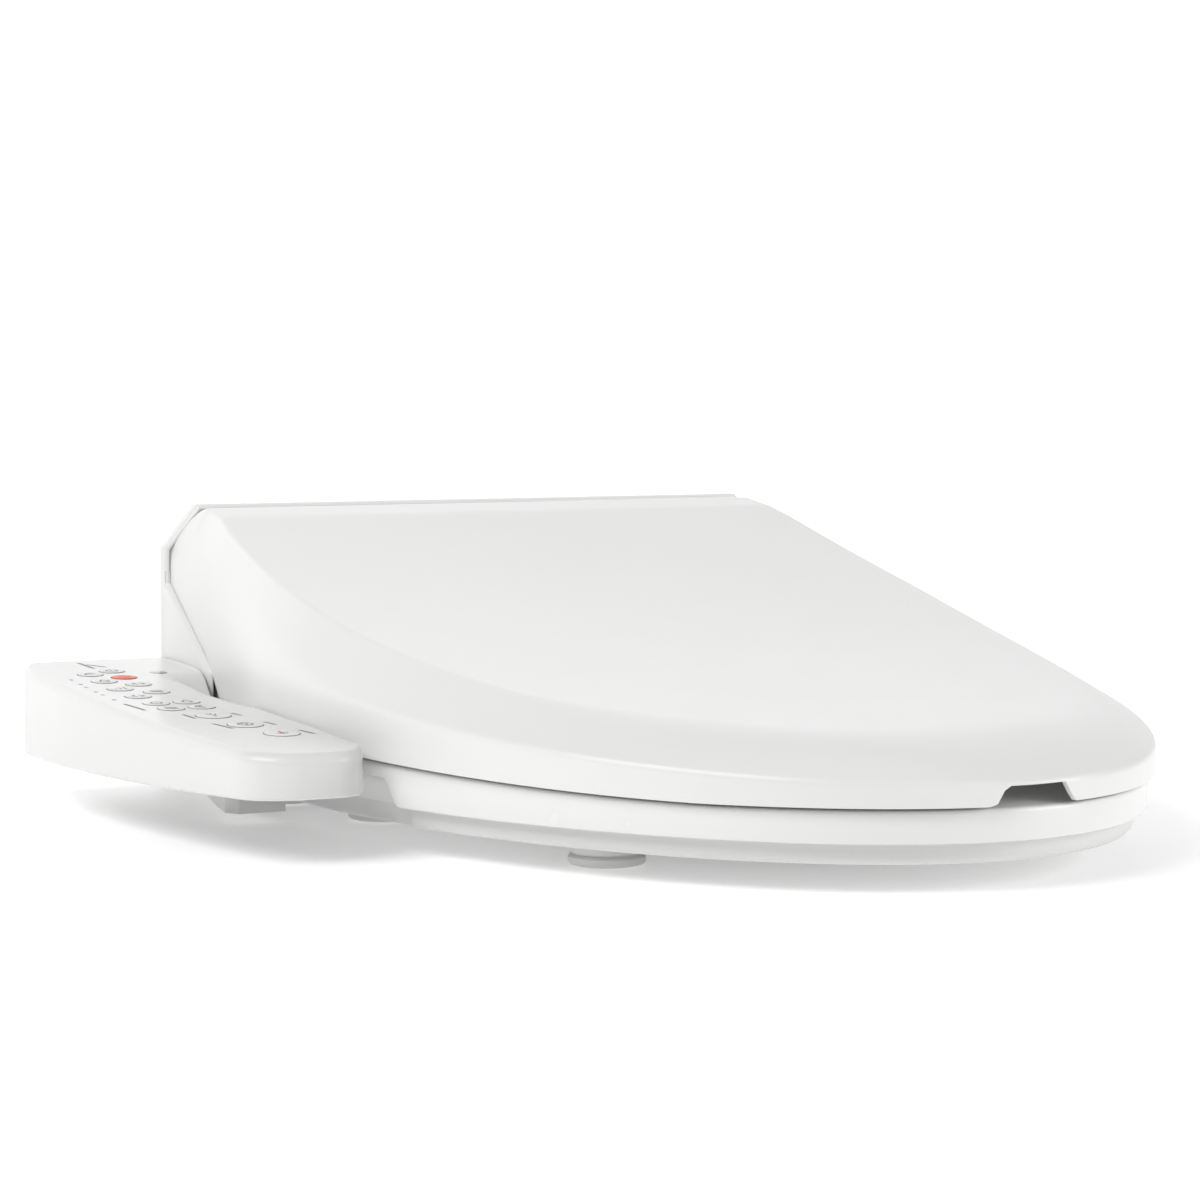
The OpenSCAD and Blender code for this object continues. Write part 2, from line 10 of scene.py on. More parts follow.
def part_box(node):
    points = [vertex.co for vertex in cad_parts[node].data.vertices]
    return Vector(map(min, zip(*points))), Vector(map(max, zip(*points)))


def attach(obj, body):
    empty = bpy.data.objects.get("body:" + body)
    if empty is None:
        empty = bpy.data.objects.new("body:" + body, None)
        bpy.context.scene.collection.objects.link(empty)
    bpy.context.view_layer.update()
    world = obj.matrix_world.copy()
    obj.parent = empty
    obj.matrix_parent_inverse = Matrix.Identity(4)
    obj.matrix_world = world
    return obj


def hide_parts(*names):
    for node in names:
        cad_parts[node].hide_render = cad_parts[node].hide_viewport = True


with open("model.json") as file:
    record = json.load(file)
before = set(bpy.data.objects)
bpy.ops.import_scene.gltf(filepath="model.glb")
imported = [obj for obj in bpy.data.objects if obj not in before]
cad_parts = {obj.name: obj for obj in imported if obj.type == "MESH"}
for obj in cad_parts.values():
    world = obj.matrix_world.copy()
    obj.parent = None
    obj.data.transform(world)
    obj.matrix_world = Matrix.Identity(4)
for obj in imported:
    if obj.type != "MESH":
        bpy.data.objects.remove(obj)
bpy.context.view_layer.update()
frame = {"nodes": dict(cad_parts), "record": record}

MM = 0.001
scene = bpy.context.scene


# ---- Camera ---------------------------------------------------------------

def add_camera():
    """A long lens a little above the seat, from the control arm's side."""
    azimuth, elevation = math.radians(-28.57), math.radians(3.85)
    camera = bpy.data.cameras.new("camera")
    camera.lens = 101.6
    camera.sensor_width = 36
    camera.clip_end = 50
    item = bpy.data.objects.new("camera", camera)
    item.location = (-0.8240, -1.6075, 0.2160)
    item.rotation_euler = (math.pi / 2 - elevation, 0, azimuth)
    scene.collection.objects.link(item)
    scene.camera = item


add_camera()

# ---- Driving sizes, in millimetres, from the frame ------------------------


def box_mm(node):
    """Low and high corner of a node of the frame."""
    low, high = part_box(node)
    return [v / MM for v in low], [v / MM for v in high]


lid_low, lid_high = box_mm("lid_shell")
cover_low, cover_high = box_mm("rear_cover")
arm_low, arm_high = box_mm("arm_cover")
seat_low = box_mm("seat_top")[0]
ring_low = box_mm("seat_bottom")[0]

HALF_W = cover_high[0]
REAR_Y = cover_high[1]
HOUSING_H = cover_high[2]
COVER_Z0 = cover_low[2]
BAND_Y = REAR_Y - 8                  # front face of the rear plate
TIP_Y = lid_low[1]
LID_HALF = lid_high[0]
LID_REAR = HALF_W - 3                # half-width of the lid at its hinge
LID_Z0 = lid_low[2]
SKIRT_Z0 = seat_low[2]
BAND_Z0 = ring_low[2]
ARM_TIP = arm_low[1]
ARM_REAR = arm_high[1]

# Lid: outline, top, rim and rear edge
WIDE_Y = -144                        # where the lid is widest
CORNER_Y = -26                       # rear end of the lid's lower edge
LEVEL_Y = -400                       # in front of this the lower edge is level
LOW_EDGE_RISE = 14.5                 # what the lower edge gains from there to the corner
FLAT_Y, FLAT_Z = -360, 68.6          # behind this the top's slope grows
TOP_SLOPE, TOP_CURVE = 0.065, 3.6e-4
RIM_Z = 47                           # upper edge of the rim at the front tip
RIM_SLOPE, RIM_CURVE, RIM_REAR_CURVE, RIM_REAR_START = 0.037, 1.82e-4, 2.2e-4, 296
CREASE_HALF, CREASE_WIDE_Y, CREASE_TIP = 172.8, -110, -434
CREASE_REAR_CURVE = 4.3e-4
SOFT_REACH = 26                      # how far the crease is rounded at the front
SOFT_START_Y, SOFT_LENGTH = -290, 140
CRISP_REACH, RIM_REACH, RIM_REACH_REAR = 2.5, 2.6, 18
CRISP_START_Y, CRISP_LENGTH = -50, 200
NOTCH_X, NOTCH_RISE, NOTCH_HALF, NOTCH_RAMP, NOTCH_REACH = 4, 8.6, 21.5, 7, 30
REAR_EDGE_TOP_Z = 118
ROLL_Y, HINGE_Z, ROLL_R = 32, 132, 13.5
ROLL_END = math.radians(100)         # where the rolled rear edge runs into the top
CHAMFER_TOP_Z = HINGE_Z + ROLL_R     # cut rear corners of the lid
CHAMFER_X, CHAMFER_LOW_Z = 163.6, 123.8
CHAMFER_SLOPE = (LID_REAR - CHAMFER_X) / (CHAMFER_TOP_Z - CHAMFER_LOW_Z)
LID_WALL = 2.6

# Lip round the front of the rear plate, and how far the skirt stands behind the lid's rim
LIP, LIP_DEPTH = 2.6, 2.4
SKIRT_IN = LID_HALF - 196.7


def smooth(t):
    """Eased step from 0 to 1."""
    t = max(0.0, min(1.0, t))
    return t * t * (3 - 2 * t)


def mix(a, b, t):
    return a + (b - a) * t


# ---- Mesh helpers ----------------------------------------------------------

def make_object(name, verts, faces, material, body):
    """A finished piece from points in millimetres."""
    mesh = bpy.data.meshes.new(name)
    mesh.from_pydata([Vector(v) * MM for v in verts], [], faces)
    mesh.update()
    item = bpy.data.objects.new(name, mesh)
    scene.collection.objects.link(item)
    finish_piece(item, material, body)
    return item


def finish_piece(item, material, body):
    """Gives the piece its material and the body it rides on."""
    item.data.materials.clear()
    item.data.materials.append(material)
    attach(item, body)


def clean(item, merge=0.01):
    """Merges doubled points and turns every face outward."""
    bm = bmesh.new()
    bm.from_mesh(item.data)
    bmesh.ops.remove_doubles(bm, verts=bm.verts, dist=merge * MM)
    bmesh.ops.dissolve_degenerate(bm, edges=bm.edges, dist=0.001 * MM)
    bmesh.ops.recalc_face_normals(bm, faces=bm.faces)
    bm.to_mesh(item.data)
    bm.free()


def apply_modifiers(item):
    """Turns the modifiers' result into the item's own mesh."""
    depsgraph = bpy.context.evaluated_depsgraph_get()
    mesh = bpy.data.meshes.new_from_object(item.evaluated_get(depsgraph))
    old = item.data
    item.modifiers.clear()
    item.data = mesh
    mesh.name = item.name
    bpy.data.meshes.remove(old)


def shade(item, angle=32):
    """Smooth shading, with edges sharper than the angle kept crisp."""
    bm = bmesh.new()
    bm.from_mesh(item.data)
    limit = math.radians(angle)
    for face in bm.faces:
        face.smooth = True
    for edge in bm.edges:
        edge.smooth = not (len(edge.link_faces) == 2 and edge.calc_face_angle(0) > limit)
    bm.to_mesh(item.data)
    bm.free()


def round_edges(item, width, angle=30):
    """Bevels the edges that are sharper than the angle."""
    bevel = item.modifiers.new("round", "BEVEL")
    bevel.width = width * MM
    bevel.segments = 2
    bevel.limit_method = "ANGLE"
    bevel.angle_limit = math.radians(angle)
    bevel.harden_normals = False
    apply_modifiers(item)


def cut(item, cutter):
    """Subtracts the cutter, a closed mesh, and removes it."""
    bpy.context.view_layer.update()
    tool = item.modifiers.new("cut", "BOOLEAN")
    tool.operation = "DIFFERENCE"
    tool.solver = "EXACT"
    tool.object = cutter
    apply_modifiers(item)
    bpy.data.objects.remove(cutter)


def loft(rings, close_ring=True, cap=True):
    """Faces between successive rings of points, with the ends capped."""
    count = len(rings[0])
    verts = [p for ring in rings for p in ring]
    faces = []
    span = count if close_ring else count - 1
    for i in range(len(rings) - 1):
        for j in range(span):
            k = (j + 1) % count
            faces.append((i * count + j, i * count + k,
                          (i + 1) * count + k, (i + 1) * count + j))
    if cap:
        faces.append(tuple(range(count)))
        faces.append(tuple(reversed(range((len(rings) - 1) * count, len(rings) * count))))
    return verts, faces


def soften(node, width, material, body):
    """A copy of a CAD node with rounded edges, which stands for that node."""
    source = frame["nodes"][node]
    mesh = source.data.copy()
    item = bpy.data.objects.new(node + "_rounded", mesh)
    scene.collection.objects.link(item)
    bm = bmesh.new()
    bm.from_mesh(mesh)
    bmesh.ops.remove_doubles(bm, verts=bm.verts, dist=0.002 * MM)
    bmesh.ops.dissolve_limit(bm, angle_limit=math.radians(1), verts=bm.verts, edges=bm.edges)
    bm.to_mesh(mesh)
    bm.free()
    round_edges(item, width)
    shade(item)
    finish_piece(item, material, body)
    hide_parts(node)


# ---- Materials ---------------------------------------------------------------

def shader(name, color, roughness, metallic=0.0, coat=0.0):
    material = bpy.data.materials.new(name)
    material.use_nodes = True
    node = material.node_tree.nodes["Principled BSDF"]
    node.inputs["Base Color"].default_value = (*color, 1)
    node.inputs["Roughness"].default_value = roughness
    node.inputs["Metallic"].default_value = metallic
    node.inputs["Coat Weight"].default_value = coat
    node.inputs["Coat Roughness"].default_value = 0.08
    return material, material.node_tree.nodes, material.node_tree.links, node


def noise(nodes, links, scale, detail=3.0):
    place = nodes.new("ShaderNodeTexCoord")
    texture = nodes.new("ShaderNodeTexNoise")
    texture.inputs["Scale"].default_value = scale
    texture.inputs["Detail"].default_value = detail
    links.new(place.outputs["Object"], texture.inputs["Vector"])
    return texture


def vary_roughness(nodes, links, node, low, high, scale):
    texture = noise(nodes, links, scale)
    ramp = nodes.new("ShaderNodeMapRange")
    ramp.inputs["To Min"].default_value = low
    ramp.inputs["To Max"].default_value = high
    links.new(texture.outputs["Fac"], ramp.inputs["Value"])
    links.new(ramp.outputs["Result"], node.inputs["Roughness"])


def vary_color(nodes, links, node, dark, light, scale):
    texture = noise(nodes, links, scale)
    blend = nodes.new("ShaderNodeMix")
    blend.data_type = "RGBA"
    blend.inputs["A"].default_value = (*dark, 1)
    blend.inputs["B"].default_value = (*light, 1)
    links.new(texture.outputs["Fac"], blend.inputs["Factor"])
    links.new(blend.outputs["Result"], node.inputs["Base Color"])


def add_bump(nodes, links, node, scale, strength):
    texture = noise(nodes, links, scale, 4.0)
    bump = nodes.new("ShaderNodeBump")
    bump.inputs["Strength"].default_value = strength
    bump.inputs["Distance"].default_value = 0.05 * MM
    links.new(texture.outputs["Fac"], bump.inputs["Height"])
    links.new(bump.outputs["Normal"], node.inputs["Normal"])


def plastic(name, color, low=0.2, high=0.28, coat=0.08, grain=900, bump=0.03):
    """Moulded plastic: a faint colour drift, uneven gloss and a fine orange peel."""
    material, nodes, links, node = shader(name, color, low, coat=coat)
    node.inputs["Specular IOR Level"].default_value = 0.32
    vary_color(nodes, links, node, tuple(c * 0.985 for c in color), color, 9)
    vary_roughness(nodes, links, node, low, high, 35)
    add_bump(nodes, links, node, grain, bump)
    return material


def metal(name, color, low, high):
    material, nodes, links, node = shader(name, color, low, metallic=1.0)
    vary_roughness(nodes, links, node, low, high, 220)
    add_bump(nodes, links, node, 1500, 0.12)
    return material


def board(name):
    """Circuit board: solder-mask green with a finer, lighter trace pattern."""
    material, nodes, links, node = shader(name, (0.02, 0.13, 0.06), 0.35, coat=0.3)
    texture = nodes.new("ShaderNodeTexBrick")
    place = nodes.new("ShaderNodeTexCoord")
    links.new(place.outputs["Object"], texture.inputs["Vector"])
    texture.inputs["Scale"].default_value = 160
    texture.inputs["Color1"].default_value = (0.02, 0.13, 0.06, 1)
    texture.inputs["Color2"].default_value = (0.025, 0.16, 0.07, 1)
    texture.inputs["Mortar"].default_value = (0.09, 0.27, 0.12, 1)
    links.new(texture.outputs["Color"], node.inputs["Base Color"])
    vary_roughness(nodes, links, node, 0.3, 0.45, 60)
    return material


def glow(name, color, strength):
    material, nodes, links, node = shader(name, color, 0.25, coat=0.4)
    node.inputs["Emission Color"].default_value = (*color, 1)
    node.inputs["Emission Strength"].default_value = strength
    vary_roughness(nodes, links, node, 0.2, 0.3, 400)
    return material


WHITE = (0.78, 0.78, 0.774)
M = {
    "shell": plastic("white_gloss_plastic", WHITE),
    "arm": plastic("arm_gloss_plastic", (0.725, 0.725, 0.719)),
    "lid": plastic("lid_gloss_plastic", WHITE, 0.26, 0.34, 0.05),
    "seat": plastic("seat_gloss_plastic", WHITE, 0.22, 0.3),
    # The seat's white plastic made darker: painted shade for the shade under the skirt on the
    # seat's lower shell.
    "seat_low": plastic("seat_underside_painted_shade", (0.66, 0.66, 0.655), 0.3, 0.38),
    "key": plastic("key_satin_plastic", (0.75, 0.75, 0.744), 0.3, 0.4, 0.0),
    "stop": plastic("stop_red_plastic", (0.80, 0.10, 0.045), 0.3, 0.4, 0.0),
    "ink": plastic("printed_grey_ink", (0.20, 0.20, 0.21), 0.5, 0.6, 0.0, 600, 0.1),
    "ink_red": plastic("printed_red_ink", (0.80, 0.12, 0.05), 0.5, 0.6, 0.0, 600, 0.1),
    # Near-black plastic for the collars round the keys: painted shade in the gaps.
    "gap": plastic("shadow_gap_plastic", (0.10, 0.10, 0.10), 0.6, 0.7, 0.0),
    "lens": plastic("smoked_lens", (0.03, 0.03, 0.035), 0.08, 0.14, 0.5, 300, 0.02),
    "light": glow("green_light_lens", (0.12, 0.65, 0.35), 0.4),
    "inner": plastic("inner_moulding", (0.62, 0.62, 0.60), 0.4, 0.5, 0.0, 700, 0.2),
    "dark": plastic("dark_moulding", (0.045, 0.045, 0.05), 0.45, 0.55, 0.0, 700, 0.25),
    "grey": plastic("grey_moulding", (0.32, 0.33, 0.34), 0.4, 0.5, 0.0, 700, 0.2),
    "rubber": plastic("soft_white_rubber", (0.74, 0.74, 0.73), 0.55, 0.7, 0.0, 500, 0.3),
    "board": board("circuit_board"),
    "steel": metal("brushed_steel", (0.60, 0.60, 0.61), 0.25, 0.38),
    "brass": metal("nickel_brass", (0.66, 0.55, 0.32), 0.2, 0.32),
    "foil": metal("heater_foil", (0.72, 0.71, 0.69), 0.3, 0.5),
}

# ---- Lid ---------------------------------------------------------------------


def lid_x(y, inset=0.0):
    """Half-width of the lid's outline at y, drawn in by the inset."""
    if y >= WIDE_Y:
        return mix(LID_HALF, LID_REAR, smooth((y - WIDE_Y) / -WIDE_Y)) - inset
    t = (WIDE_Y - y) / (WIDE_Y - TIP_Y - inset)
    return (LID_HALF - inset) * max(0.0, 1 - t ** 1.84) ** 0.51


def top_z(y):
    """Height of the lid's top; at the rear it runs tangent into the rolled edge."""
    rise = max(0.0, y - FLAT_Y)
    curve = FLAT_Z + TOP_SLOPE * (y - FLAT_Y) + TOP_CURVE * rise ** 2
    tangent = HINGE_Z + (ROLL_R + math.cos(ROLL_END) * (ROLL_Y - y)) / math.sin(ROLL_END)
    return min(curve, tangent)


def low_z(y):
    """Lower edge of the lid: level in front, rising gently to the rear corner."""
    if y < LEVEL_Y:
        return LID_Z0
    share = (min(y, CORNER_Y) - LEVEL_Y) / (CORNER_Y - LEVEL_Y)
    return LID_Z0 + LOW_EDGE_RISE * share ** 1.25


def rear_edge_z(y):
    """The lid's slanted rear edge, just in front of the housing's cheek."""
    points = [(CORNER_Y, 51.5), (-12.4, 64), (-9, 64.2), (44.9, 101.8),
              (ROLL_Y + ROLL_R, REAR_EDGE_TOP_Z)]
    for (y0, z0), (y1, z1) in zip(points, points[1:]):
        if y <= y1:
            return mix(z0, z1, (y - y0) / (y1 - y0))
    return REAR_EDGE_TOP_Z


def rim_z(y):
    """Edge between the upright rim and the cheek, which climbs to the housing's corner."""
    t = y - TIP_Y
    rear = max(0.0, t - RIM_REAR_START)
    return RIM_Z + RIM_SLOPE * t + RIM_CURVE * t ** 2 + RIM_REAR_CURVE * rear ** 2


def crease_x(y):
    """Half-width of the crease between the lid's top and its cheek."""
    if y > CREASE_WIDE_Y:
        return CREASE_HALF - CREASE_REAR_CURVE * (y - CREASE_WIDE_Y) ** 2
    t = (CREASE_WIDE_Y - y) / (CREASE_WIDE_Y - CREASE_TIP)
    return CREASE_HALF * max(0.0, 1 - t ** 1.6) ** 0.355


def notch(x):
    """How far the finger notch lifts the lid's lower edge, x from the notch's middle."""
    return NOTCH_RISE * smooth((NOTCH_HALF - abs(x)) / NOTCH_RAMP)


def lid_rows():
    """Outline and crease points of the lid from its rolled rear edge to the front tip."""
    rows = []
    for angle in range(0, 100, 9):
        a = math.radians(angle)
        y, z = ROLL_Y + ROLL_R * math.cos(a), HINGE_Z + ROLL_R * math.sin(a)
        rows.append((LID_REAR, y, CHAMFER_X + (CHAMFER_TOP_Z - z) * CHAMFER_SLOPE, y, z))
    rear_steps, front_steps = 44, 90
    start = ROLL_Y + ROLL_R * math.cos(ROLL_END)
    for i in range(rear_steps):
        y = mix(start, WIDE_Y, i / rear_steps)
        x_top = mix(CHAMFER_X, crease_x(y), smooth((start - y) / 40))
        rows.append((lid_x(y), y, x_top, y, top_z(y)))
    for i in range(front_steps + 1):
        t = math.sin(i / front_steps * math.pi / 2)
        y_out, y_top = mix(WIDE_Y, TIP_Y, t), mix(WIDE_Y, CREASE_TIP, t)
        rows.append((lid_x(y_out), y_out, crease_x(y_top), y_top, top_z(y_top)))
    return rows


def fillet(a, corner, b, reach, samples=6, share=0.45):
    """Points that round the corner between a and b, starting reach away from it.

    The start stays within the given share of the way to a or b.
    """
    ends = []
    for end in (a, b):
        length = max(math.dist(end, corner), 1e-6)
        ends.append([mix(c, e, min(share, reach / length)) for c, e in zip(corner, end)])
    points = []
    for i in range(samples + 1):
        t = i / samples
        points.append(tuple((1 - t) ** 2 * p + 2 * t * (1 - t) * c + t * t * q
                            for p, c, q in zip(ends[0], corner, ends[1])))
    return points


def lid_section(row, side):
    """One side's cross-section, from the lid's lower edge up to its centre line."""
    x_out, y_out, x_top, y_top, z_top = row
    z_edge = low_z(y_out) if y_out < CORNER_Y else rear_edge_z(y_out)
    if y_out < TIP_Y + NOTCH_REACH:
        z_edge += notch(side * x_out - NOTCH_X)
    z_rim = max(min(rim_z(y_out), CHAMFER_LOW_Z, z_top - 1), z_edge + 1)
    low, rim = (x_out, y_out, z_edge), (x_out, y_out, z_rim)
    front = smooth((SOFT_START_Y - y_out) / SOFT_LENGTH)
    reach = mix(CRISP_REACH, SOFT_REACH, front)
    x_in = x_top * (1 - reach / CREASE_HALF)
    y_in = y_top + SOFT_REACH * front * max(0.0, (WIDE_Y - y_out) / (WIDE_Y - TIP_Y))
    z_in = z_top + top_z(y_in) - top_z(y_top)
    crease, inner, centre = (x_top, y_top, z_top), (x_in, y_in, z_in), (0.0, y_in, z_in)
    crisp = smooth((CRISP_START_Y - y_out) / CRISP_LENGTH)
    points = [tuple(mix(p, q, s) for p, q in zip(low, rim)) for s in (0, 0.05, 0.3)]
    points += fillet(low, rim, crease, mix(RIM_REACH_REAR, RIM_REACH, crisp))
    points += fillet(rim, crease, inner, reach, 12, 0.75)
    points += [tuple(mix(p, q, s) for p, q in zip(inner, centre)) for s in (0.4, 0.75, 1)]
    return points


def build_lid():
    """The lid's outer surface, thickened inward."""
    rings = []
    for row in lid_rows():
        right, left = lid_section(row, 1), lid_section(row, -1)
        rings.append(right + [(-x, y, z) for x, y, z in reversed(left[:-1])])
    verts, faces = loft(rings, close_ring=False, cap=False)
    lid = make_object("lid", verts, faces, M["lid"], "lid")
    clean(lid, 0.05)
    wall = lid.modifiers.new("wall", "SOLIDIFY")
    wall.thickness = LID_WALL * MM
    wall.offset = -1
    wall.use_even_offset = True
    wall.use_rim = True
    apply_modifiers(lid)
    round_edges(lid, 0.5, 60)
    shade(lid, 44)
    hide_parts("lid_shell")


build_lid()

# ---- Seat --------------------------------------------------------------------

SEAT_REAR = -66
# Opening of the seat, then the step in the skirt beside the arm
HOLE_HALF, HOLE_Y, HOLE_FRONT, SLOT_HALF = 106, -236, 134, 102
RECESS_Y, RECESS_Z, RECESS_DEPTH = -244, 34, 3.2
LOWER_SHELL_IN = 6.9                 # how far it stands in from the skirt
RING_STATIONS = 220
BUMPERS = ((114, -310), (136, -125))


def seat_outer(inset):
    """Outer outline of the seat's right half, from the rear to the front tip."""
    points = [(lid_x(-74, inset) - 9, SEAT_REAR), (lid_x(-74, inset) - 3, SEAT_REAR - 2.5),
              (lid_x(-78, inset), SEAT_REAR - 8)]
    points += [(lid_x(y, inset), y) for y in range(-84, WIDE_Y, -6)]
    steps = 70
    for i in range(steps + 1):
        y = mix(WIDE_Y, TIP_Y + inset, math.sin(i / steps * math.pi / 2))
        points.append((lid_x(y, inset), y))
    return points


def resample(points, count):
    """Evenly spaced points along a path."""
    lengths = [0.0]
    for p, q in zip(points, points[1:]):
        lengths.append(lengths[-1] + math.dist(p, q))
    result, k = [], 0
    for i in range(count):
        goal = lengths[-1] * i / (count - 1)
        while k < len(points) - 2 and lengths[k + 1] < goal:
            k += 1
        span = lengths[k + 1] - lengths[k]
        t = (goal - lengths[k]) / span if span else 0
        result.append((mix(points[k][0], points[k + 1][0], t),
                       mix(points[k][1], points[k + 1][1], t)))
    return result


def seat_inner(grow):
    """Inner outline of the seat's right half, from the rear to the front."""
    half, slot = HOLE_HALF + grow, SLOT_HALF + grow
    points = [(slot, SEAT_REAR), (slot, HOLE_Y + 70)]
    points += [(mix(slot, half, smooth(i / 8)), mix(HOLE_Y + 70, HOLE_Y, i / 8))
               for i in range(1, 9)]
    points += [(half * math.cos(math.radians(a)),
                HOLE_Y - (HOLE_FRONT + grow) * math.sin(math.radians(a)))
               for a in range(3, 91, 3)]
    return points


def seat_ring(name, profile, node, material):
    """Sweeps a closed profile of (side, offset, height) round the horseshoe."""
    outlines = {}
    rings = []
    for side, offset, _ in profile:
        if (side, offset) not in outlines:
            path = seat_outer(offset) if side == "out" else seat_inner(offset)
            outlines[side, offset] = resample(path, RING_STATIONS)
    for i in range(RING_STATIONS):
        ring = []
        for side, offset, height in profile:
            x, y = outlines[side, offset][i]
            x -= recess_inset(y, height(y)) if side == "out" else 0
            ring.append((x, y, height(y)))
        rings.append(ring)
    mirrored = [[(-x, y, z) for x, y, z in ring] for ring in reversed(rings[:-1])]
    verts, faces = loft(rings + mirrored)
    item = make_object(name, verts, faces, material, "seat")
    clean(item)
    shade(item, 40)
    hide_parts(node)


def flat(z):
    return lambda y: z


def skirt_low(y):
    """Lower edge of the skirt, which steps up beside the control arm."""
    return mix(SKIRT_Z0, RECESS_Z, smooth((y - RECESS_Y) / 11))


def recess_inset(y, z):
    """Beside the arm the wall under the skirt stands back a little."""
    below = smooth((skirt_low(y) - z + 0.4) / 0.4)
    return 0.0 if y < RECESS_Y else RECESS_DEPTH * below * smooth((y - RECESS_Y) / 3)


def follow(z):
    """A height that rises with the lid's lower edge."""
    return lambda y: z + low_z(y) - LID_Z0


def build_seat():
    edge = LID_Z0 - 1
    o = SKIRT_IN
    b = o + LOWER_SHELL_IN
    low = SKIRT_Z0 - 0.02

    def lip(rise):
        return lambda y: skirt_low(y) + rise

    seat_ring("seat_upper_shell", [
        ("out", o + 6.8, flat(low)), ("out", o + 6.8, lambda y: skirt_low(y) - 0.02),
        ("out", o + 1.6, lip(0)), ("out", o + 0.45, lip(0.5)),
        ("out", o, lip(1.8)), ("out", o, follow(edge - 2)),
        ("out", o + 0.3, follow(edge - 0.9)), ("out", o + 0.9, follow(edge - 0.3)),
        ("out", o + 2.4, follow(edge + 0.1)), ("out", o + 7, follow(edge + 0.8)),
        ("out", o + 14, follow(edge + 1.9)), ("out", o + 28, follow(edge + 2.8)),
        ("in", 26, follow(edge + 2.2)), ("in", 12, follow(edge + 0.2)),
        ("in", 5, follow(edge - 2.6)), ("in", 1.4, follow(edge - 6.6)),
        ("in", 0, follow(edge - 11)), ("in", 0.6, flat(SKIRT_Z0 + 0.8)),
        ("in", 2, flat(low)),
    ], "seat_top", M["seat"])
    # The lower shell takes the darker seat plastic, painted shade under the skirt.
    seat_ring("seat_lower_shell", [
        ("out", b + 3.4, flat(BAND_Z0)), ("out", b + 1.5, flat(BAND_Z0 + 0.5)),
        ("out", b + 0.4, flat(BAND_Z0 + 1.5)), ("out", b, flat(BAND_Z0 + 3)),
        ("out", b, flat(SKIRT_Z0 - 0.05)), ("in", 5, flat(SKIRT_Z0 - 0.05)),
        ("in", 5.4, flat(BAND_Z0 + 2)), ("in", 8, flat(BAND_Z0)),
    ], "seat_bottom", M["seat_low"])


build_seat()


def revolve(profile, centre):
    """A solid of revolution about a vertical axis from (radius, z) points."""
    segments = 48
    rings = []
    for k in range(segments):
        a = 2 * math.pi * k / segments
        rings.append([(centre[0] + r * math.cos(a), centre[1] + r * math.sin(a), z)
                      for r, z in profile])
    rings.append(rings[0])
    return loft(rings, close_ring=False, cap=False)


def build_bumpers():
    """Two-layer rubber bumpers: a rounded pad under a slightly smaller stem."""
    profile = [(0.01, 0), (14, 0), (16.2, 0.5), (17.2, 1.6), (17.3, 3.8), (16.6, 4.7),
               (15.4, 5.1), (15.4, 5.5), (16.4, 5.8), (16.5, 7), (16.5, 11), (16.2, 12),
               (0.01, 12)]
    number = 0
    for x, y in BUMPERS:
        for side in (-1, 1):
            number += 1
            verts, faces = revolve(profile, (side * x, y))
            item = make_object(f"seat_bumper_{number}", verts, faces, M["rubber"],
                               "seat")
            clean(item)
            shade(item, 40)
            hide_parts("seat_bumpers")


build_bumpers()

# ---- Control arm ---------------------------------------------------------------

# The arm's outer side is an arc, and its top falls and its underside rises to the front
ARM_R, ARM_CX, ARM_CY = 870, 600, -87
ARM_TOP_REAR, ARM_FALL = 68, 0.06
ARM_TILT = math.atan(ARM_FALL)
UNDER_REAR, UNDER_RISE = 21.5, 0.0252
ARM_EDGE, ARM_LOW_EDGE = 5.2, 1.6    # radii of its upper and lower edges
NOSE_OUT_X, NOSE_OUT_R = -232.3, 26  # outer and inner round corner of its front end
NOSE_IN_X, NOSE_IN_R = -219, 19.4
NOSE_START_Y = -226                  # where the outer side runs into the front end
LID_GAP = 1.5
ARM_IN_X, ARM_IN_Y = 199.6, -185     # least distance of the inner side, in front of that y
VALLEY_DEPTH, SWEEP_R = 13.5, 3.5
# Rows of keys: y, and distance in from the arm's outer side
OUTER_Y = (-2, -26, -52, -77, -100, -117)
OUTER_OFF = (25.6, 26, 26, 26.4, 26.8, 27.3)
INNER_Y = (6, -16, -40, -66, -100, -117)
INNER_OFF = (39.1, 39.4, 39.5, 39.9, 42.2, 42.6)
BIG_Y = (-143, -172, -200)
BIG_OFF = (36.7, 38.3, 41.3)
SMALL_R, BIG_R = 6.4, 8.3
KEY_GAP, POCKET_DEPTH = 0.36, 4.0
LIGHT_Y = (-16, -32, -41, -57, -67, -83)
LIGHT_OFF, STATUS_LIGHT = 12, (-236.6, 31)
LIGHT_R, LIGHT_POCKET_R = 1.05, 1.15
SENSOR = (-204.8, -4)
OUTER_KEYS = ("seat_heat_button", "water_heat_button", "pressure_button",
              "nozzle_position_button", "child_mode_button", "energy_button")
INNER_KEYS = ("power_button", "stop_button", "oscillate_button", "pulse_button",
              "nozzle_clean_button", "night_light_button")
BIG_KEYS = ("rear_wash_button", "front_wash_button", "dryer_button")


def arm_outer_x(y):
    return ARM_CX - math.sqrt(ARM_R ** 2 - (y - ARM_CY) ** 2)


def arm_inner_x(y):
    return -max(HALF_W, lid_x(y) + LID_GAP, ARM_IN_X if y < ARM_IN_Y else 0)


def arm_top_z(y):
    return ARM_TOP_REAR + ARM_FALL * (y - ARM_REAR)


def arm_under_z(y):
    return UNDER_REAR + UNDER_RISE * (ARM_REAR - y)


def arc(cx, cy, r, a0, a1, n):
    return [(cx + r * math.cos(math.radians(mix(a0, a1, i / n))),
             cy + r * math.sin(math.radians(mix(a0, a1, i / n)))) for i in range(n + 1)]


